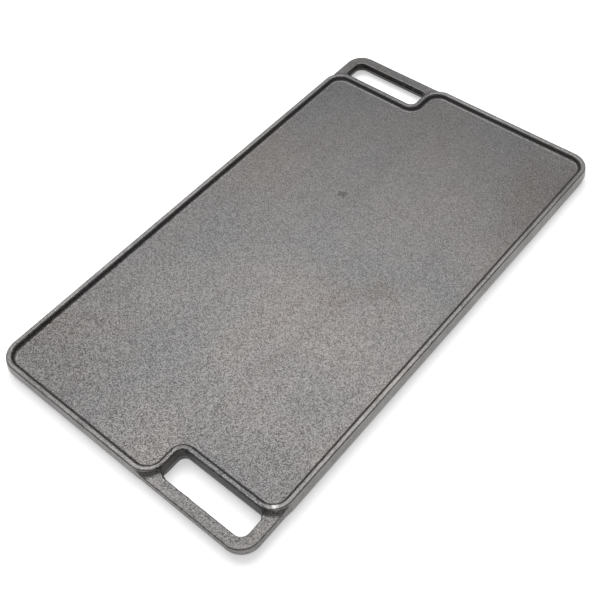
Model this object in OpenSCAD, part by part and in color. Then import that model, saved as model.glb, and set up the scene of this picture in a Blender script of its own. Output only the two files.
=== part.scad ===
// Reversible cast iron griddle plate: a flat cooking side on top and a ridged grill side below,
// with a rounded rim on both sides and a slotted handle at two opposite corners.
// The real griddle is one casting. Each module is one region of it, and the regions meet face to face.
// Origin: the middle of the resting plane. +Y runs along the plate and +Z points up.

/* [Overall] */
// Length over the outer walls
length = 457; // [400:1:520]
// Width over the outer walls
width = 259; // [230:1:300]
// Height from the resting plane to the top of the rim
height = 15; // [14:0.5:18]

/* [Cooking plate] */
// Depth of the flat side below the top of the rim
tray_depth = 4.3; // [4.2:0.1:5]
// Depth of the grill side above the resting plane
grill_depth = 5.7; // [5:0.1:6]

/* [Rim] */
// Width of the rim, from the line that its inner shoulder is rounded about to its sharp outer edge
rim_width = 3.3; // [3:0.1:5]
// Outward lean of the outer wall, from either side to the parting line at mid-height
outer_draft = 1.3; // [0.5:0.1:1.5]
// Lean of the inner walls between the rim and the plate
inner_draft = 0.8; // [0.5:0.1:1.2]
// Radius where the inner walls meet the plate
foot_radius = 2.3; // [1.5:0.1:2.5]
// Radius of the rim's inner shoulders
shoulder_radius = 2.2; // [1:0.1:2.2]
// Radius of the rim's outer edges
edge_radius = 1; // [0.6:0.1:1.2]
// Radius of the outward corners, along the rim's inner edge
corner_radius = 14; // [12:0.5:18]
// Radius of the inward corners where the rim steps round a handle, along its inner edge
step_radius = 9.5; // [8:0.5:12]

/* [Handles] */
// Length of a handle's corner along the short side
handle_length = 89; // [80:1:95]
// Depth of a handle's corner along the long side
handle_depth = 33.5; // [33:0.5:40]
// Thickness of a handle, centred on the parting line
handle_thickness = 8.4; // [7:0.1:9]
// Width of the bar between the slot and the outer wall
bar_width = 10.7; // [9:0.1:11.5]
// Radius of a handle's outer corner, along the line of the rim's inner edge
handle_radius = 12.5; // [10:0.5:14]
// Radius of the slot's corners
slot_radius = 6.7; // [5:0.1:7]
// Radius of a handle's outer edges
bar_edge_radius = 1; // [0.6:0.1:1.5]
// Reach of the sloped root between the rim's outer wall and a handle's face
root_reach = 1.6; // [1.2:0.1:4]

/* [Grill ridges] */
// Number of ridges
ridge_count = 17; // [11:2:21]
// Width of a ridge where it meets the plate
ridge_foot = 5; // [4:0.5:6]
// Width of a ridge along its top
ridge_top = 3; // [2:0.5:3.5]
// Height of the ridge tops above the resting plane
ridge_clearance = 0.6; // [0.2:0.1:1]
// Distance from the outermost ridges, and from every ridge's ends, to the rim's inner edge
ridge_margin = 13; // [12:0.5:16]

/* [Hidden] */
$fn = 64;

iron = "#5d5a58";
iron_rim = "#6a6765";
iron_handle = "#6f6b69";
iron_underside = "#4b4947";

// Distances marked "out" are measured outwards from the rim's inner edge, a line within its shoulder.
wall_out = rim_width + outer_draft;
// Where the shoulder's two sides would meet if it were sharp
shoulder_out = -shoulder_radius / 2;
inner_foot_out = shoulder_out - inner_draft;
// The plate region ends just inside the round at the foot of the inner walls.
plate_out = inner_foot_out - foot_radius;
// A line inside the rim's wall, where the handles start, and one further in, where what trims them starts
core_out = rim_width / 2;
trim_out = core_out / 2;
half_x = width / 2 - wall_out;
half_y = length / 2 - wall_out;
step_x = half_x - handle_length;
step_y = -(half_y - handle_depth);
parting = height / 2;
plate_top = height - tray_depth;

// Corners of the rim's inner edge as [x, y, radius], anticlockwise, and half of them turned by 180 degrees
half_edge = [
    [-half_x, -half_y, corner_radius],
    [step_x, -half_y, corner_radius],
    [step_x, step_y, step_radius],
    [half_x, step_y, corner_radius],
];
inner_edge = concat(half_edge, [for (corner = half_edge) [-corner.x, -corner.y, corner.z]]);

handle_bottom = parting - handle_thickness / 2;
handle_top = parting + handle_thickness / 2;
// A handle's outer wall is set in a little from the rim's, so it grows out of the rim's round corners.
bar_inset = 0.2;
bar_out = wall_out - bar_inset;
// How far out that wall has leaned back at a handle's faces
face_out = bar_out - outer_draft * handle_thickness / height;
slot_out = wall_out - bar_width;
// How far a handle's bars carry on past the ends of the rim's round corners, where the rim trims them
root_lap = 2;
bar_start_x = step_x - corner_radius - root_lap;
bar_end_y = step_y + corner_radius + root_lap;
// How far a cutting shape carries on past the solid that it cuts
cut_past = 2;
// How high the slopes at a handle's roots climb above its face, and how deep in it they start
root_rise = height - edge_radius - handle_top;
root_sink = 0.5;
// The share of that rise at which the hollow slopes turn steeper
root_turn = 0.33;

ridge_pitch = 2 * (half_x - ridge_margin) / (ridge_count - 1);
ridge_height = grill_depth - ridge_clearance;

function direction(angle) = [cos(angle), sin(angle)];
function heading(from, to) = atan2(to.y - from.y, to.x - from.x);

// Section points are snapped to this many steps in a millimetre, so that straights and rounds meet exactly.
snap_steps = 1000;
function snapped(points) =
    [for (point = points) [round(point.x * snap_steps), round(point.y * snap_steps)] / snap_steps];

// Replaces the corner b of a, b, c with an arc, as points from the a side to the c side.
function arc_corner(a, b, c, radius, steps = 4) =
    let (
        back = (a - b) / norm(a - b),
        ahead = (c - b) / norm(c - b),
        half_angle = acos(back * ahead) / 2,
        middle = (back + ahead) / norm(back + ahead),
        centre = b + middle * radius / sin(half_angle),
        start = b + back * radius / tan(half_angle) - centre,
        end = b + ahead * radius / tan(half_angle) - centre,
        sweep = acos(start * end / pow(radius, 2)),
        side = sign(cross(start, end))
    )
    [for (i = [0 : steps])
        let (turn = side * sweep * i / steps)
        centre + [start.x * cos(turn) - start.y * sin(turn), start.x * sin(turn) + start.y * cos(turn)]];

// Points of an outline whose corners are [point, radius], with a sharp corner where the radius is 0.
function rounded(corners) =
    let (last = len(corners) - 1)
    snapped([for (i = [0 : last])
        let (
            here = corners[i],
            before = corners[i == 0 ? last : i - 1][0],
            after = corners[i == last ? 0 : i + 1][0]
        )
        each here[1] == 0 ? [here[0]] : arc_corner(before, here[0], after, here[1])]);

// Cross-section of the rim above the parting line: X is out, Y is up.
flat_side_section = rounded([
    [[plate_out, parting], 0],
    [[wall_out, parting], 0],
    [[rim_width, height], edge_radius],
    [[shoulder_out, height], shoulder_radius],
    [[inner_foot_out, plate_top], foot_radius],
    [[plate_out, plate_top], 0],
]);

// Cross-section of the rim below the parting line
grill_side_section = rounded([
    [[plate_out, parting], 0],
    [[plate_out, grill_depth], 0],
    [[inner_foot_out, grill_depth], foot_radius],
    [[shoulder_out, 0], shoulder_radius],
    [[rim_width, 0], edge_radius],
    [[wall_out, parting], 0],
]);

// Everything outside a handle's drafted and rounded outer edge
edge_cutter_section = rounded([
    [[face_out - cut_past, handle_top + cut_past], 0],
    [[face_out - cut_past, handle_top], 0],
    [[face_out, handle_top], bar_edge_radius],
    [[bar_out, parting], 0],
    [[face_out, handle_bottom], bar_edge_radius],
    [[face_out - cut_past, handle_bottom], 0],
    [[face_out - cut_past, handle_bottom - cut_past], 0],
    [[bar_out + handle_radius, handle_bottom - cut_past], 0],
    [[bar_out + handle_radius, handle_top + cut_past], 0],
]);

// The rim's wall with sharp edges, which trims the handles where they meet it
wall_section = [
    [trim_out, 0],
    [rim_width, 0],
    [wall_out, parting],
    [rim_width, height],
    [trim_out, height],
];

// Cross-section of the hollow slope from the rim's round corners down to a handle's upper face
root_section = snapped([
    [core_out, handle_top - root_sink],
    [wall_out + root_reach, handle_top - root_sink],
    [wall_out + root_reach, handle_top],
    [wall_out, handle_top + root_rise * root_turn],
    [rim_width, handle_top + root_rise],
    [core_out, handle_top + root_rise],
]);

// A section swept in a straight line between two points. Out is to the right of the way it goes.
module swept_line(from, to, section) {
    translate(to)
        rotate([90, 0, heading(from, to) - 90])
            linear_extrude(norm(to - from))
                polygon(section);
}

// A section swept round a right-angled corner [x, y, radius], entered at one heading and left at another.
module swept_corner(corner, entry, exit, section) {
    side = sign(sin(exit - entry));
    centre = [corner.x, corner.y] + corner.z * (direction(exit) - direction(entry));
    translate(centre)
        rotate([0, 0, side > 0 ? entry - 90 : exit + 90])
            rotate_extrude(angle = 90)
                polygon([for (point = section) [corner.z + side * point.x, point.y]]);
}

// A section swept along the whole of a closed outline of right-angled corners.
module swept_round(outline, section) {
    count = len(outline);
    for (i = [0 : count - 1]) {
        here = outline[i];
        next = outline[(i + 1) % count];
        after = outline[(i + 2) % count];
        way = heading(here, next);
        from = [here.x, here.y] + here.z * direction(way);
        to = [next.x, next.y] - next.z * direction(way);
        swept_line(from, to, section);
        swept_corner(next, way, heading(next, after), section);
    }
}

// A rectangle with round corners, from one corner to the opposite one
module round_block(low, high, radius) {
    translate([low.x + radius, low.y])
        square([high.x - low.x - 2 * radius, high.y - low.y]);
    translate([low.x, low.y + radius])
        square([high.x - low.x, high.y - low.y - 2 * radius]);
    for (x = [low.x + radius, high.x - radius], y = [low.y + radius, high.y - radius])
        translate([x, y])
            circle(radius);
}

// Fills the inward corner of the step on the near side with its round.
module step_round(out) {
    radius = step_radius - out;
    corner = [step_x + out, step_y - out];
    difference() {
        translate(corner - [0, radius])
            square(radius);
        translate(corner + [radius, -radius])
            circle(radius);
    }
}

// Plan of everything within the rim, grown outwards from the rim's inner edge
module plan(out) {
    radius = corner_radius + out;
    edge_x = half_x + out;
    edge_y = half_y + out;
    round_block([-edge_x, step_y - out], [edge_x, -step_y + out], radius);
    for (turn = [0, 180])
        rotate(turn) {
            round_block([-edge_x, -edge_y], [step_x + out, radius], radius);
            step_round(out);
        }
}

// Plan of a handle's slot, carried on to the rim's outer wall, which closes two of its sides
module slot_plan() {
    low = [step_x + face_out, -(half_y + slot_out)];
    high = [half_x + slot_out, step_y - face_out];
    round_block(low, high, slot_radius);
    translate([step_x + core_out, low.y + slot_radius])
        square([high.x - slot_radius - step_x - core_out, step_y - core_out - low.y - slot_radius]);
}

// Plan of a handle's corner, with a square outer corner and before the rim's wall trims it
module corner_plan() {
    start = [bar_start_x, -(half_y + wall_out + cut_past)];
    end = [half_x + wall_out + cut_past, bar_end_y];
    difference() {
        translate(start)
            square(end - start);
        plan(core_out);
        slot_plan();
    }
}

// Trims a handle's outer edge to its drafted and rounded section.
module edge_cutter() {
    corner = [half_x, -half_y, handle_radius];
    start = [bar_start_x - cut_past, -half_y];
    end = [half_x, bar_end_y + cut_past];
    swept_line(start, [corner.x - corner.z, corner.y], edge_cutter_section);
    swept_corner(corner, 0, 90, edge_cutter_section);
    swept_line([corner.x, corner.y + corner.z], end, edge_cutter_section);
}

module handle_bar() {
    difference() {
        translate([0, 0, handle_bottom])
            linear_extrude(handle_thickness)
                corner_plan();
        edge_cutter();
    }
}

// The slopes on a handle's upper face, kept inside its outer edge and out of the slot
module root_slopes() {
    edge_out = face_out - bar_edge_radius;
    start = [bar_start_x, -(half_y + edge_out)];
    end = [half_x + edge_out, bar_end_y];
    intersection() {
        for (corner = [half_edge[1], half_edge[3]])
            swept_corner(corner, 0, 90, root_section);
        linear_extrude(height)
            difference() {
                translate(start)
                    square(end - start);
                slot_plan();
            }
    }
}

module handle_shape() {
    difference() {
        union() {
            handle_bar();
            root_slopes();
            translate([0, 0, height])
                mirror([0, 0, 1])
                    root_slopes();
        }
        swept_round(inner_edge, wall_section);
    }
}

module griddle_plate() {
    color(iron)
        translate([0, 0, grill_depth])
            linear_extrude(plate_top - grill_depth)
                plan(plate_out);
}

module flat_side_rim() {
    color(iron_rim)
        swept_round(inner_edge, flat_side_section);
}

module grill_side_rim() {
    color(iron_underside)
        swept_round(inner_edge, grill_side_section);
}

module near_handle() {
    color(iron_handle)
        handle_shape();
}

module far_handle() {
    color(iron_handle)
        rotate(180)
            handle_shape();
}

// One ridge along Y, with round drafted ends, hanging from the plate's underside
module ridge(x, from, to) {
    for (y = [from, to])
        translate([x, y, ridge_clearance])
            cylinder(h = ridge_height, r1 = ridge_top / 2, r2 = ridge_foot / 2);
    translate([x, to, ridge_clearance])
        rotate([90, 0, 0])
            linear_extrude(to - from)
                polygon([
                    [-ridge_top / 2, 0],
                    [ridge_top / 2, 0],
                    [ridge_foot / 2, ridge_height],
                    [-ridge_foot / 2, ridge_height],
                ]);
}

// How far a ridge reaches towards the near side: less where the rim steps round the handle
function ridge_end(x) = (x > step_x - ridge_margin ? -step_y : half_y) - ridge_margin;

module grill_ridges() {
    color(iron_underside)
        for (i = [0 : ridge_count - 1]) {
            x = (i - (ridge_count - 1) / 2) * ridge_pitch;
            ridge(x, -ridge_end(x), ridge_end(-x));
        }
}

griddle_plate();
flat_side_rim();
grill_side_rim();
near_handle();
far_handle();
grill_ridges();
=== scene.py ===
"""Looks of the reversible cast iron griddle plate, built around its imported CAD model.

The real griddle is one casting. Each piece made here stands for one region of it, and the regions meet
without a visible seam: neighbours share their border points, and one iron material runs across them all.
Shapes are worked out in millimetres, and meshes are made in metres.
"""

import math

import bmesh
import bpy
from mathutils import Matrix, Quaternion, Vector, noise
from mathutils.geometry import delaunay_2d_cdt


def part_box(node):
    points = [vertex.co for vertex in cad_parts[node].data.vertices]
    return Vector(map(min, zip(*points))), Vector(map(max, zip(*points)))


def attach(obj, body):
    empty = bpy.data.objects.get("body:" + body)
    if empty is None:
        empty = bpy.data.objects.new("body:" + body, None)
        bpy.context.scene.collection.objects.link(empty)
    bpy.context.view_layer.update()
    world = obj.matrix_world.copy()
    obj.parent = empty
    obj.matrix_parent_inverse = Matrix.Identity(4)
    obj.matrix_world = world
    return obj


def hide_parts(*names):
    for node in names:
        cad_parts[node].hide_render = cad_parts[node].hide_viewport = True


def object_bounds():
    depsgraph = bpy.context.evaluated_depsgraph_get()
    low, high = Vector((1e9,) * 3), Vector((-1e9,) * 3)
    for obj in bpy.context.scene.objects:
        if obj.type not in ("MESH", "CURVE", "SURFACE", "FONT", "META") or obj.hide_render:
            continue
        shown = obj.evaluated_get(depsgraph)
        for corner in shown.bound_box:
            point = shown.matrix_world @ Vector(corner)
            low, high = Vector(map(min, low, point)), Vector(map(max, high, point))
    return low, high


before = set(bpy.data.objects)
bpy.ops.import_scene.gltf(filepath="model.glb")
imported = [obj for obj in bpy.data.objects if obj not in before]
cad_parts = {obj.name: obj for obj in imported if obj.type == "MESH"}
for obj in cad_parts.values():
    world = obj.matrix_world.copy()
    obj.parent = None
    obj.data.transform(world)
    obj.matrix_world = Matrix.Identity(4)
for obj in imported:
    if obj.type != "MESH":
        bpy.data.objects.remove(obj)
cad_low, cad_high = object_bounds()

MM = 0.001

# Blender starts its vector noise from the clock. A seed of its own makes every run the same.
mould_seed = 1
noise.seed_set(mould_seed)

# ---------------------------------------------------------------- sizes, in millimetres

width = (cad_high.x - cad_low.x) / MM
length = (cad_high.y - cad_low.y) / MM
height = (cad_high.z - cad_low.z) / MM
parting = height / 2
plate_low, plate_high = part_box("griddle_plate")
plate_top = plate_high.z / MM
plate_underside = plate_low.z / MM

# Distances marked "out" are measured from the rim's inner edge outwards.
rim_width = 3.3
wall_out = 4.6
half_x = width / 2 - wall_out
half_y = length / 2 - wall_out
plate_out = plate_high.x / MM - half_x
shoulder_out = -1.1
shoulder_radius = 2.2
inner_foot_out = -1.9
foot_radius = 2.3
outer_edge_radius = 1.25
corner_radius = 14
step_radius = 9.5

# Every outer wall steps back by this much just above and below the parting line.
parting_step = 0.05
parting_step_height = 0.35

handle_half = 4.2
handle_radius = 12.5
bar_out = 4.4
bar_width = 10.7
step_x = half_x - 89
step_y = -(half_y - 33.5)
slot_radius = 6.7
core_out = rim_width / 2
root_lap = 2
root_foot = 6.2
root_rise = 2.3
root_hollow = 1.5
slot_draft = 0.3
slot_lap = 0.9
lean = 0.7
handle_edge_radius = 1.0
handle_edge_reach = 2.4

ridge_count = 17
ridge_margin = 13
ridge_foot = 5
ridge_top = 3
ridge_tip = 0.6
ridge_edge_radius = 0.9
ridge_fillet = 1.1
ridge_apron = 1.2
ridge_crown = 0.35
ridge_sink = 0.4

# The slight unevenness that a sand mould leaves: (size across, height) of each swell
swells = [(70, 0.10), (22, 0.045), (9, 0.018)]

# The ragged line that the two mould halves leave round a handle. The rim's walls are drawn without one.
flash_outside = 0.12
flash_in_slot = 0.45
flash_least = 0.02
flash_steady = 0.55
flash_ragged = 0.75
flash_size = 2.2
fine_flash_size = 0.9

# Spacing of the meshes' points
station_spacing = 3.5
corner_steps = 16
longest_stretch = 1.6
plate_grid = 5.5
handle_grid = 1.8
ridge_spacing = 6
ridge_end_steps = 14

sharpest_smooth_edge = math.radians(40)

# Amounts of wear, from 0 for none to 1 for most; on the outer walls of the rims and handles the wear also
# paints a lighter sheen, as painted reflection. A rim's edge wears from this share of its height up.
worn_from = 0.86
worn_over = 0.14
rim_inner_edge_wear = 0.6
handle_edge_wear_and_sheen = 0.6
handle_face_wear = 0.2
ridge_wear = 0.8
ridge_worn_height = 0.5


# ---------------------------------------------------------------- helpers for shapes

def swell(point):
    """How far a point of the casting is off its drawn place."""
    moved = Vector((0, 0, 0))
    for size, amount in swells:
        moved += noise.noise_vector(point / size) * amount
    return moved


def in_slot(x, y):
    """Whether a point of an outer wall is within one of the two handles' slots."""
    if y > 0:
        x, y = -x, -y
    bar_reach = bar_width - wall_out
    return step_x < x < half_x - bar_reach and -(half_y - bar_reach) < y < step_y


def flash_width(x, y):
    """How far the flash stands out from a handle's wall."""
    most = flash_in_slot if in_slot(x, y) else flash_outside
    coarse = noise.noise(Vector((x, y, 0)) / flash_size)
    fine = noise.noise(Vector((x, y, 9)) / fine_flash_size)
    return max(flash_least, most * (flash_steady + flash_ragged * (coarse + 0.5 * fine)))


def arc_corner(before, corner, after, radius, steps):
    """An arc that replaces a sharp corner, as points from one side to the other."""
    back = (before - corner).normalized()
    ahead = (after - corner).normalized()
    half_angle = back.angle(ahead) / 2
    centre = corner + (back + ahead).normalized() * radius / math.sin(half_angle)
    start = corner + back * radius / math.tan(half_angle) - centre
    end = corner + ahead * radius / math.tan(half_angle) - centre
    turn = start.angle_signed(end)
    points = []
    for step in range(steps + 1):
        points.append(centre + Matrix.Rotation(-turn * step / steps, 2) @ start)
    return points


def rounded_line(corners, steps=6):
    """Points of a line through corners given as (x, y, radius); a radius of 0 keeps the corner."""
    places = [Vector(corner[:2]) for corner in corners]
    points = []
    for index, (x, y, radius) in enumerate(corners):
        if radius == 0:
            points.append(places[index])
        else:
            points += arc_corner(places[index - 1], places[index], places[index + 1], radius, steps)
    return points


def corner_stations(centre, radius, first, turn, steps, inward=False):
    """Places and outward directions round an arc, from the angle first, its end left out."""
    stations = []
    for step in range(steps):
        angle = first + turn * step / steps
        outward = Vector((math.cos(angle), math.sin(angle)))
        if inward:
            stations.append((centre - outward * radius, outward))
        else:
            stations.append((centre + outward * radius, outward))
    return stations


def line_stations(start, end, outward, spacing=station_spacing):
    """Places and outward directions along a straight, its end left out."""
    steps = max(1, math.ceil((end - start).length / spacing))
    return [(start.lerp(end, step / steps), outward) for step in range(steps)]


def rim_stations():
    """Places along the rim's inner edge, anticlockwise, each with its outward direction."""
    half = [
        (Vector((-half_x, -half_y)), corner_radius),
        (Vector((step_x, -half_y)), corner_radius),
        (Vector((step_x, step_y)), step_radius),
        (Vector((half_x, step_y)), corner_radius),
    ]
    corners = half + [(-place, radius) for place, radius in half]
    count = len(corners)
    stations = []
    for index, (here, here_radius) in enumerate(corners):
        there, radius = corners[(index + 1) % count]
        beyond = corners[(index + 2) % count][0]
        way = (there - here).normalized()
        next_way = (beyond - there).normalized()
        outward = Vector((way.y, -way.x))
        stations += line_stations(here + way * here_radius, there - way * radius, outward)
        left_turn = way.x * next_way.y - way.y * next_way.x > 0
        centre = there + (next_way - way) * radius
        first = math.atan2(outward.y, outward.x)
        turn = math.pi / 2 if left_turn else -math.pi / 2
        stations += corner_stations(centre, radius, first, turn, corner_steps, inward=not left_turn)
    return stations


def ring_faces(first, second):
    """Quads between two closed rings of vertex numbers."""
    count = len(first)
    return [
        (first[i], first[(i + 1) % count], second[(i + 1) % count], second[i])
        for i in range(count)
    ]


def inside(point, border):
    """Whether a point is inside a closed border."""
    crossings = 0
    for index, a in enumerate(border):
        b = border[index - 1]
        if (a.y > point.y) != (b.y > point.y):
            if point.x < a.x + (point.y - a.y) * (b.x - a.x) / (b.y - a.y):
                crossings += 1
    return crossings % 2 == 1


def filled(border, grid):
    """Triangles that fill a closed border, with inner points about grid apart: (all points, triangles).

    Every other row of inner points is shifted, and none is close to the border, so no triangle is thin.
    """
    row_shift = 0.25
    least_gap = 0.6 * grid
    low_x, high_x = min(p.x for p in border), max(p.x for p in border)
    low_y, high_y = min(p.y for p in border), max(p.y for p in border)
    points = list(border)
    columns = math.ceil((high_x - low_x) / grid)
    rows = math.ceil((high_y - low_y) / grid)
    for row in range(1, rows):
        for column in range(1, columns):
            shift = row_shift if row % 2 else -row_shift
            point = Vector((
                low_x + (column + shift) * (high_x - low_x) / columns,
                low_y + row * (high_y - low_y) / rows,
            ))
            if inside(point, border) and min((point - b).length for b in border) > least_gap:
                points.append(point)
    edges = [(i, (i + 1) % len(border)) for i in range(len(border))]
    made = delaunay_2d_cdt(points, edges, [list(range(len(border)))], 1, 1e-5)
    return made[0], made[2]


def make_piece(name, node, points, faces, wear_and_sheen, slot_shade):
    """A visible piece of the casting that stands for a CAD node. Points are in millimetres.

    Each point also has an amount of wear, which on the outer walls also paints a sheen, and an amount of
    painted shade, between 0 and 1.
    """
    places = []
    for point in points:
        place = point + swell(point)
        place.z = min(max(place.z, 0), height)
        places.append(place * MM)
    mesh = bpy.data.meshes.new(name)
    mesh.from_pydata(places, [], faces)
    edited = bmesh.new()
    edited.from_mesh(mesh)
    bmesh.ops.recalc_face_normals(edited, faces=edited.faces)
    edited.to_mesh(mesh)
    edited.free()
    mesh.shade_smooth()
    mesh.set_sharp_from_angle(angle=sharpest_smooth_edge)
    for kind, amounts in (("wear_and_sheen", wear_and_sheen), ("slot_shade", slot_shade)):
        mesh.attributes.new(kind, "FLOAT", "POINT").data.foreach_set("value", amounts)
    piece = bpy.data.objects.new(name, mesh)
    bpy.context.scene.collection.objects.link(piece)
    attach(piece, "root")
    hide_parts(node)
    return piece


# ---------------------------------------------------------------- the plate and its rims

def make_plate(stations):
    """The flat web inside the rims, with the cooking face on top and the grill side underneath."""
    border = [place + outward * plate_out for place, outward in stations]
    flat_points, triangles = filled(border, plate_grid)
    count = len(flat_points)
    points = [Vector((p.x, p.y, plate_top)) for p in flat_points]
    points += [Vector((p.x, p.y, plate_underside)) for p in flat_points]
    faces = [tuple(triangle) for triangle in triangles]
    faces += [tuple(index + count for index in reversed(triangle)) for triangle in triangles]
    upper = list(range(len(border)))
    faces += ring_faces([index + count for index in upper], upper)
    clean = [0.0] * len(points)
    return make_piece("plate_casting", "griddle_plate", points, faces, clean, clean)


def make_rim(name, node, stations, section):
    """A closed cross-section of (out, z) points swept round the rim, with painted shade on the slots' walls.
    """
    points, wear_and_sheen, slot_shade = [], [], []
    for place, outward in stations:
        # Outer walls inside a slot are painted dark as painted shade, and get no wear.
        shaded = 1.0 if in_slot(*(place + outward * wall_out)) else 0.0
        for out, z in section:
            spot = place + outward * out
            points.append(Vector((spot.x, spot.y, z)))
            wear_and_sheen.append(rim_wear_and_sheen(out, z) * (1 - shaded))
            slot_shade.append(shaded if out > rim_width else 0.0)
    size = len(section)
    rings = [list(range(start, start + size)) for start in range(0, len(points), size)]
    faces = []
    for index, ring in enumerate(rings):
        faces += ring_faces(ring, rings[(index + 1) % len(rings)])
    return make_piece(name, node, points, faces, wear_and_sheen, slot_shade)


def with_middles(line):
    """The same line with points added, so that no stretch of a visible wall is long."""
    points = []
    for index, point in enumerate(line[:-2]):
        following = line[index + 1]
        pieces = math.ceil((following - point).length / longest_stretch)
        points += [tuple(point.lerp(following, step / pieces)) for step in range(pieces)]
    return points + [tuple(line[-2]), tuple(line[-1])]


def rim_section(plate_face, top, side):
    """The section of half the rim, with side = 1 above the parting line and -1 below it.

    It runs from the plate's face over the rim's flat top and down its outer wall to the parting line.
    """
    return with_middles(rounded_line([
        (plate_out, plate_face, 0),
        (inner_foot_out, plate_face, foot_radius),
        (shoulder_out, top, shoulder_radius),
        (rim_width, top, outer_edge_radius),
        (wall_out - parting_step, parting + side * parting_step_height, 0),
        (wall_out, parting, 0),
        (plate_out, parting, 0),
    ]))


def rim_wear_and_sheen(out, z):
    """Wear of the rim, partly painted sheen: full down its outer wall, which it paints lighter as painted
    reflection, and along its outer edge, less along its inner edge.
    """
    if out > rim_width:
        return 1.0
    off_parting = abs(z - parting) / parting
    near_the_edge = max(0.0, (off_parting - worn_from) / worn_over)
    return near_the_edge * (1.0 if out > rim_width / 2 else rim_inner_edge_wear)


# ---------------------------------------------------------------- the handles

def handle_stations():
    """Places round the near handle at the parting line, anticlockwise, and the middles of its roots.

    Each place comes with the way into the iron, which is None where the rim hides it, and with whether it
    faces the slot.
    """
    edge_x = half_x + bar_out
    edge_y = -(half_y + bar_out)
    start_x = step_x - corner_radius - root_lap
    end_y = step_y + corner_radius + root_lap
    outer_radius = handle_radius + bar_out
    outer_centre = Vector((edge_x - outer_radius, edge_y + outer_radius))
    left_root = Vector((step_x - corner_radius, -half_y + corner_radius))
    right_root = Vector((half_x - corner_radius, step_y + corner_radius))
    core_radius = corner_radius + core_out

    slot_low = Vector((step_x + wall_out - slot_lap, -(half_y + wall_out - bar_width) + slot_draft))
    slot_high = Vector((half_x + wall_out - bar_width - slot_draft, step_y - wall_out + slot_lap))
    quarter = math.pi / 2

    free = line_stations(Vector((start_x, edge_y)), Vector((outer_centre.x, edge_y)), Vector((0, -1)))
    free += corner_stations(outer_centre, outer_radius, -quarter, quarter, corner_steps)
    free += line_stations(Vector((edge_x, outer_centre.y)), Vector((edge_x, end_y)), Vector((1, 0)))
    free.append((Vector((edge_x, end_y)), Vector((1, 0))))

    slot_corners = [
        (Vector((slot_high.x - slot_radius, slot_high.y - slot_radius)), quarter),
        (Vector((slot_high.x - slot_radius, slot_low.y + slot_radius)), 0),
        (Vector((slot_low.x + slot_radius, slot_low.y + slot_radius)), -quarter),
    ]
    slot = []
    for index, (centre, first) in enumerate(slot_corners):
        if index:
            before = slot[-1][0]
            facing = Vector((math.cos(first), math.sin(first)))
            slot += line_stations(before, centre + facing * slot_radius, facing)[1:]
        slot += corner_stations(centre, slot_radius, first, -quarter, corner_steps)
        last = Vector((math.cos(first - quarter), math.sin(first - quarter)))
        slot.append((centre + last * slot_radius, last))

    def hidden_arc(centre, first, last):
        """Places inside the rim's round corner, where the rim covers the handle's end."""
        steps = 12
        places = []
        for step in range(steps + 1):
            angle = first + (last - first) * step / steps
            places.append(centre + core_radius * Vector((math.cos(angle), math.sin(angle))))
        return places

    right_meet = math.asin((slot[0][0].x - right_root.x) / core_radius) - quarter
    left_meet = math.asin((slot[-1][0].y - left_root.y) / core_radius)
    right_hidden = [Vector((right_root.x + core_radius, end_y))] + hidden_arc(right_root, 0, right_meet)
    left_hidden = hidden_arc(left_root, left_meet, -quarter)
    left_hidden.append(Vector((start_x, left_root.y - core_radius)))

    stations = [(place, -outward, False) for place, outward in free]
    stations += [(place, None, False) for place in right_hidden]
    stations += [(place, outward, True) for place, outward in slot]
    stations += [(place, None, False) for place in left_hidden]
    return stations, [left_root, right_root]


def handle_profile():
    """The edge of a handle as (way in from the parting line, height above it), to the flat face."""
    return [tuple(p) for p in rounded_line([
        (0, 0, 0),
        (parting_step, parting_step_height, 0),
        (lean, handle_half, handle_edge_radius),
        (lean + handle_edge_reach, handle_half, 0),
    ])]


def root_height(place, roots):
    """Rise of the hollow slope between a handle's face and the rim's round corner."""
    out = min((place - root).length for root in roots) - corner_radius
    share = min(max((root_foot - out) / (root_foot - rim_width), 0), 1)
    return root_rise * share ** root_hollow


def make_handle(name, node, turn):
    """A handle, with turn = 1 for the near one and -1 for the far one."""
    stations, roots = handle_stations()
    profile = handle_profile()
    shade_reach = lean + 0.3
    count = len(stations)
    points, wear_and_sheen, slot_shade, faces = [], [], [], []

    def add(place, z, worn_and_sheened, shaded=0.0):
        """A point of the near handle, or the same point of the far one."""
        points.append(Vector((turn * place.x, turn * place.y, z)))
        wear_and_sheen.append(worn_and_sheened)
        slot_shade.append(shaded)

    def raised(place, share, side):
        """Height of a point that is a share of the way from the parting line to the handle's face."""
        return parting + side * share * (handle_half + root_height(place, roots))

    for side in (1, -1):
        for way_in, up in profile:
            for place, inward, in_the_slot in stations:
                spot = place if inward is None else place + inward * way_in
                if up == 0 and inward is not None:
                    spot = place - inward * flash_width(*place)
                # Outside the slot the handle's walls and edges are lightened, partly wear and partly painted
                # sheen.
                worn_and_sheened = 0.0 if in_the_slot else handle_edge_wear_and_sheen
                # The handle's slot-facing walls are painted dark as painted shade.
                shaded = 1.0 if in_the_slot and way_in < shade_reach else 0.0
                add(spot, raised(spot, up / handle_half, side), worn_and_sheened, shaded)
    ring_count = len(profile)
    for side in range(2):
        for ring in range(ring_count - 1):
            first = (side * ring_count + ring) * count
            second = first + count
            faces += ring_faces(list(range(first, second)), list(range(second, second + count)))
    for side, sign in ((0, 1), (1, -1)):
        last = (side * ring_count + ring_count - 1) * count
        border = [Vector(points[last + i][:2]) * turn for i in range(count)]
        flat_points, triangles = filled(border, handle_grid)
        first_new = len(points)
        for place in flat_points[count:]:
            add(place, raised(place, 1, sign), handle_face_wear)
        for triangle in triangles:
            faces.append(tuple(last + i if i < count else first_new + i - count for i in triangle))
    return make_piece(name, node, points, faces, wear_and_sheen, slot_shade)


# ---------------------------------------------------------------- the ridges on the grill side

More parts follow.
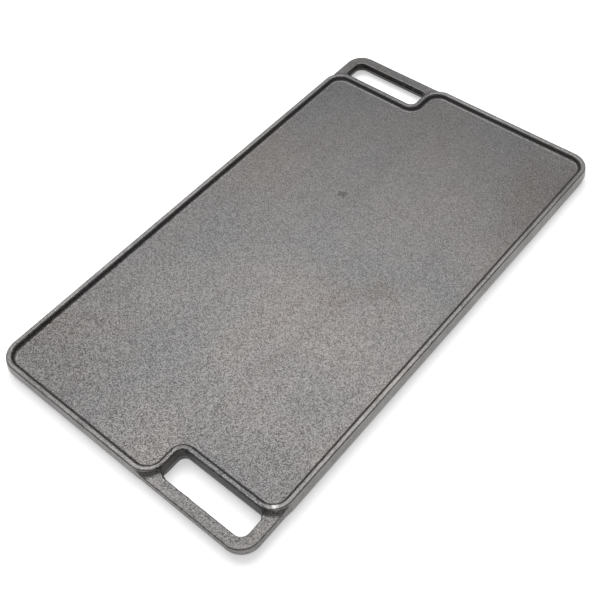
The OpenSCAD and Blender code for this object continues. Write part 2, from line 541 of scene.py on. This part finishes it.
def ridge_profile():
    """Half of a ridge's section as (half width, z), from inside the plate to the ridge's flat top."""
    apron = ridge_foot / 2 + ridge_apron
    line = rounded_line([
        (apron, plate_underside, 0),
        (ridge_foot / 2, plate_underside, ridge_fillet),
        (ridge_top / 2, ridge_tip, ridge_edge_radius),
        (ridge_crown, ridge_tip, 0),
    ], steps=4)
    return [(apron, plate_underside + ridge_sink)] + [tuple(p) for p in line]


def make_ridges():
    """The ridges under the plate, side by side and each with round ends."""
    points, wear_and_sheen, faces = [], [], []
    profile = ridge_profile()
    side = Vector((1, 0))
    pitch = 2 * (half_x - ridge_margin) / (ridge_count - 1)

    def reach(x):
        """How far a ridge goes towards the near end, which is less beside the near handle."""
        return (-step_y if x > step_x - ridge_margin else half_y) - ridge_margin

    for index in range(ridge_count):
        x = (index - (ridge_count - 1) / 2) * pitch
        near = Vector((x, -reach(x)))
        far = Vector((x, reach(-x)))
        rings = []
        for half_wide, z in profile:
            over = side * half_wide
            stations = corner_stations(near, half_wide, -math.pi, math.pi, ridge_end_steps)
            stations += line_stations(near + over, far + over, side, ridge_spacing)
            stations += corner_stations(far, half_wide, 0, math.pi, ridge_end_steps)
            stations += line_stations(far - over, near - over, -side, ridge_spacing)
            rings.append(list(range(len(points), len(points) + len(stations))))
            for place, _ in stations:
                points.append(Vector((place.x, place.y, z)))
                wear_and_sheen.append(ridge_wear if z < ridge_tip + ridge_worn_height else 0.0)
        for first, second in zip(rings, rings[1:]):
            faces += ring_faces(first, second)
        faces.append(tuple(rings[0]))
        faces.append(tuple(rings[-1]))
    return make_piece("ridges_casting", "grill_ridges", points, faces, wear_and_sheen, [0.0] * len(points))


stations = rim_stations()
pieces = [
    make_plate(stations),
    make_rim("flat_side_rim_casting", "flat_side_rim", stations, rim_section(plate_top, height, 1)),
    make_rim("grill_side_rim_casting", "grill_side_rim", stations, rim_section(plate_underside, 0, -1)),
    make_handle("near_handle_casting", "near_handle", 1),
    make_handle("far_handle_casting", "far_handle", -1),
    make_ridges(),
]


# ---------------------------------------------------------------- the seasoned iron

class Nodes:
    """Short ways to add and join shader nodes."""

    def __init__(self, tree):
        self.tree = tree

    def add(self, kind, inputs=None, **settings):
        node = self.tree.nodes.new(kind)
        for key, value in settings.items():
            setattr(node, key, value)
        for key, value in (inputs or {}).items():
            socket = node.inputs[key]
            if isinstance(value, bpy.types.NodeSocket):
                self.tree.links.new(value, socket)
            else:
                socket.default_value = value
        return node

    def noise(self, where, scale, detail=2.0, roughness=0.5):
        made = self.add(
            "ShaderNodeTexNoise", {"Vector": where, "Scale": scale, "Detail": detail, "Roughness": roughness}
        )
        return made.outputs["Fac"]

    def math(self, operation, first, second):
        return self.add("ShaderNodeMath", {0: first, 1: second}, operation=operation).outputs[0]

    def ranged(self, value, low, high, to_low=0.0, to_high=1.0, smooth=False):
        made = self.add(
            "ShaderNodeMapRange",
            {"Value": value, "From Min": low, "From Max": high, "To Min": to_low, "To Max": to_high},
            interpolation_type="SMOOTHSTEP" if smooth else "LINEAR",
        )
        return made.outputs["Result"]

    def mix(self, share, first, second):
        """The first colour where share is 0, and the second where it is 1."""
        factor, colour_a, colour_b, colour_out = 0, 6, 7, 2
        made = self.add("ShaderNodeMix", {factor: share, colour_a: first, colour_b: second}, data_type="RGBA")
        return made.outputs[colour_out]


# Colours of the iron, as linear red, green, blue and alpha
cool_iron = (0.146, 0.146, 0.148, 1)
warm_iron = (0.157, 0.147, 0.142, 1)
brown_stain = (0.125, 0.108, 0.099, 1)
# Black for the dark grains, a black spot and the painted shade in the slots.
black_soot_and_shade = (0.03, 0.028, 0.027, 1)
# Bare iron for worn places and light grains, and for the painted sheen on the outer walls.
bare_iron_and_sheen = (0.30, 0.29, 0.28, 1)
# Very bright iron for the rubbed spot, partly wear and partly a painted highlight.
rubbed_iron_and_glint = (0.62, 0.60, 0.58, 1)

# Spots: (x, y, size across their middle in millimetres, scale of their ragged edge, strength)
brown_smudges = [
    (67, 7, 20, 90, 0.6),
    (43, -22, 26, 80, 0.5),
    (-100, -180, 70, 25, 0.3),
    (115, 170, 80, 22, 0.5),
]
black_spot = (-24, 70, 5, 200, 0.75)
# A rubbed spot on the rim's corner, painted bright: partly wear, partly a painted highlight.
rubbed_glint_spot = (121.5, -187, 4, 300, 0.9)

# Scales of the textures, in features to a metre
mottle_scale = 9
streak_scales = (70, 5, 5)
wear_patch_scale = 45
grain_scale = 1300
dimple_scale = 260

# How strongly each thing shows
streak_strength = 0.3
dark_grain_strength = 0.75
light_grain_strength = 0.6
wear_and_sheen_strength = 0.6
slot_shade_strength = 0.8
dimple_strength = 0.4

# The grain fades from the near end to the far end: (y, strength there), in metres
grain_near = (-0.2, 1)
grain_far = (0.22, 0.4)

roughest, smoothest = 0.41, 0.34
bump_depth = 0.00013
metallic = 0.9


def make_iron():
    """Seasoned iron: sand grains, cloudy tints, smudges from cooking, worn edges, a painted sheen on the
    outer walls, a painted highlight on one spot of the rim, and painted shade in the slots.
    """
    material = bpy.data.materials.new("seasoned_cast_iron")
    material.use_nodes = True
    tree = material.node_tree
    tree.nodes.clear()
    nodes = Nodes(tree)
    where = nodes.add("ShaderNodeTexCoord").outputs["Object"]
    along = nodes.add("ShaderNodeSeparateXYZ", {"Vector": where}).outputs["Y"]
    plan = nodes.add("ShaderNodeMapping", {"Vector": where, "Scale": (1, 1, 0)}).outputs["Vector"]

    def blended(colour, over, share, strength):
        """A colour with another over it, by a share times a strength."""
        return nodes.mix(nodes.math("MULTIPLY", share, strength), colour, over)

    def spotted(colour, over, spot):
        """A colour with a cloudy spot of another over it, seen from above."""
        x, y, size, ragged, strength = spot
        centre = (x * MM, y * MM, 0)
        reach = size * MM
        away = nodes.add("ShaderNodeVectorMath", {0: plan, 1: centre}, operation="DISTANCE")
        cloud = nodes.noise(where, ragged, detail=3, roughness=0.6)
        ragged_edge = nodes.ranged(cloud, 0.3, 0.7, -reach / 2, reach / 2)
        edge = nodes.math("ADD", away.outputs["Value"], ragged_edge)
        return blended(colour, over, nodes.ranged(edge, reach, 0, smooth=True), strength)

    mottle = nodes.noise(where, mottle_scale)
    colour = nodes.mix(nodes.ranged(mottle, 0.35, 0.65), cool_iron, warm_iron)
    streak_place = nodes.add("ShaderNodeMapping", {"Vector": where, "Scale": streak_scales})
    streaks = nodes.ranged(nodes.noise(streak_place.outputs["Vector"], 1), 0.5, 0.75)
    colour = blended(colour, brown_stain, streaks, streak_strength)
    for smudge in brown_smudges:
        colour = spotted(colour, brown_stain, smudge)
    colour = spotted(colour, black_soot_and_shade, black_spot)

    grains = nodes.add("ShaderNodeTexVoronoi", {"Vector": where, "Scale": grain_scale})
    grain_value = nodes.add("ShaderNodeSeparateColor", {"Color": grains.outputs["Color"]}).outputs["Red"]
    sharpness = nodes.ranged(along, grain_near[0], grain_far[0], grain_near[1], grain_far[1])
    dark_grains = nodes.ranged(grain_value, 0.5, 0.0, 0, dark_grain_strength)
    light_grains = nodes.ranged(grain_value, 0.5, 1.0, 0, light_grain_strength)
    colour = blended(colour, black_soot_and_shade, dark_grains, sharpness)
    colour = blended(colour, bare_iron_and_sheen, light_grains, sharpness)

    worn_and_sheened = nodes.add("ShaderNodeAttribute", attribute_name="wear_and_sheen").outputs["Fac"]
    patches = nodes.ranged(nodes.noise(where, wear_patch_scale, detail=3, roughness=0.6), 0.35, 0.65, 0.3, 1)
    # Wear lightens the iron towards bare iron; on the outer walls this is also a painted sheen.
    colour = blended(colour, bare_iron_and_sheen, nodes.math("MULTIPLY", worn_and_sheened, patches), wear_and_sheen_strength)
    # The rubbed spot on the rim's corner is painted very bright, partly as a painted highlight.
    colour = spotted(colour, rubbed_iron_and_glint, rubbed_glint_spot)
    # Painted shade: the walls inside the slots are painted nearly black.
    slot_shade = nodes.add("ShaderNodeAttribute", attribute_name="slot_shade").outputs["Fac"]
    colour = blended(colour, black_soot_and_shade, slot_shade, slot_shade_strength)

    pebbles = nodes.math("MULTIPLY", grains.outputs["Distance"], -1.0)
    dimples = nodes.math("MULTIPLY", nodes.noise(where, dimple_scale), dimple_strength)
    heights = nodes.math("ADD", pebbles, dimples)
    bump = nodes.add("ShaderNodeBump", {"Height": heights, "Strength": 1.0, "Distance": bump_depth})

    rough = nodes.ranged(mottle, 0.3, 0.7, roughest, smoothest)
    shader = nodes.add(
        "ShaderNodeBsdfPrincipled",
        {"Base Color": colour, "Roughness": rough, "Metallic": metallic, "Normal": bump.outputs["Normal"]},
    )
    output = nodes.add("ShaderNodeOutputMaterial")
    tree.links.new(shader.outputs[0], output.inputs["Surface"])
    return material


iron = make_iron()
for piece in pieces:
    piece.data.materials.append(iron)


# ---------------------------------------------------------------- floor, light and camera

# The floor glows a little, which keeps the griddle's shadow on it pale.
floor_half = 3.0
floor_white = (0.93, 0.93, 0.93, 1)
floor_roughness = 0.8
floor_glow = 0.42

world_grey = (0.24, 0.24, 0.245, 1)

# The camera looks at aim from this direction and distance. Angles are in degrees, lengths in metres.
azimuth = 44.2
elevation = 52.94
roll = -5.3
aim = Vector((0.0228, -0.0427, 0.015))
distance = 0.7304
lens_mm = 55.62
sensor_mm = 36


def make_floor():
    """A plain white floor under the griddle."""
    corners = [(-1, -1), (1, -1), (1, 1), (-1, 1)]
    mesh = bpy.data.meshes.new("floor")
    mesh.from_pydata([Vector((x * floor_half, y * floor_half, 0)) for x, y in corners], [], [(0, 1, 2, 3)])
    floor = bpy.data.objects.new("floor", mesh)
    bpy.context.scene.collection.objects.link(floor)
    material = bpy.data.materials.new("white_floor")
    material.use_nodes = True
    shader = material.node_tree.nodes["Principled BSDF"]
    shader.inputs["Base Color"].default_value = floor_white
    shader.inputs["Roughness"].default_value = floor_roughness
    shader.inputs["Emission Color"].default_value = (1, 1, 1, 1)
    shader.inputs["Emission Strength"].default_value = floor_glow
    mesh.materials.append(material)


def make_softbox(name, place, wide, deep, power, seen_in_iron):
    """An oval light aimed at the griddle. Only lights seen in the iron make reflections."""
    light = bpy.data.lights.new(name, "AREA")
    light.shape = "ELLIPSE"
    light.size = wide
    light.size_y = deep
    light.energy = power
    lamp = bpy.data.objects.new(name, light)
    lamp.location = place
    lamp.rotation_mode = "QUATERNION"
    lamp.rotation_quaternion = (-lamp.location).to_track_quat("-Z", "Y")
    lamp.visible_glossy = seen_in_iron
    bpy.context.scene.collection.objects.link(lamp)


def make_world():
    """Dim, even light from all round."""
    world = bpy.data.worlds.new("studio")
    world.use_nodes = True
    world.node_tree.nodes["Background"].inputs["Color"].default_value = world_grey
    bpy.context.scene.world = world


def make_camera():
    """The camera at the chosen viewing angle, set as the scene's camera."""
    across, up = math.radians(azimuth), math.radians(elevation)
    back = Vector((math.sin(across) * math.cos(up), -math.cos(across) * math.cos(up), math.sin(up)))
    data = bpy.data.cameras.new("camera")
    data.lens = lens_mm
    data.sensor_width = sensor_mm
    camera = bpy.data.objects.new("camera", data)
    camera.location = aim + back * distance
    camera.rotation_mode = "QUATERNION"
    upright = (-back).to_track_quat("-Z", "Y")
    camera.rotation_quaternion = upright @ Quaternion((0, 0, 1), math.radians(roll))
    bpy.context.scene.collection.objects.link(camera)
    bpy.context.scene.camera = camera


make_floor()
make_softbox("far_softbox", (-0.48, 0.39, 1.2), wide=1.8, deep=1.0, power=13.5, seen_in_iron=True)
make_softbox("top_softbox", (0, 0, 1.2), wide=2.4, deep=2.4, power=6, seen_in_iron=False)
make_world()
make_camera()
bpy.context.scene.view_settings.view_transform = "Standard"
